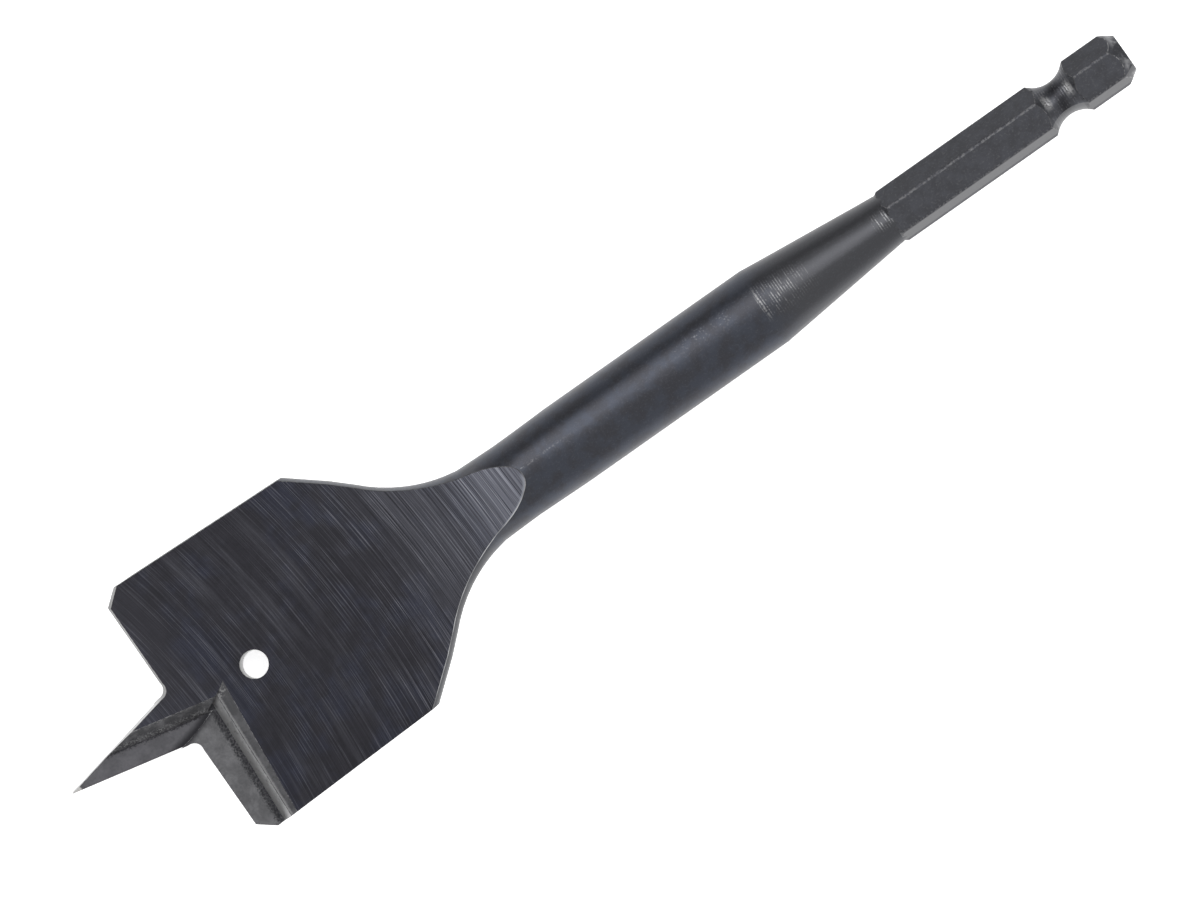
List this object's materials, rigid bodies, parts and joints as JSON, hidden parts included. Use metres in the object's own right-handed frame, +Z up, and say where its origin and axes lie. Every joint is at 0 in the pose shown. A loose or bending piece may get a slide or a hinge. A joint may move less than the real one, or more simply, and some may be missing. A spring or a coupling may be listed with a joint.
{
  "type": "spade drill bit",
  "caption": "Flat wood-boring bit with a brad point, ground chip channels along its cutting lips, a hole in the blade, a round shank and a hex end with a detent groove.",
  "frame": {"origin": "middle of the bounding box, on the surface that the bit lies on", "axes": "+X along the bit from the point to the hex end, +Y across the blade, +Z up, with the bit lying on its waist and on one outer corner of a chip channel"},
  "size_m": [0.1548, 0.0348, 0.0109],
  "materials": {
    "dark_steel": "black oxide over ground and turned steel, bare at the very tip"
  },
  "bodies": {
    "root": {"spade_bit": "dark_steel"}
  },
  "joints": []
}
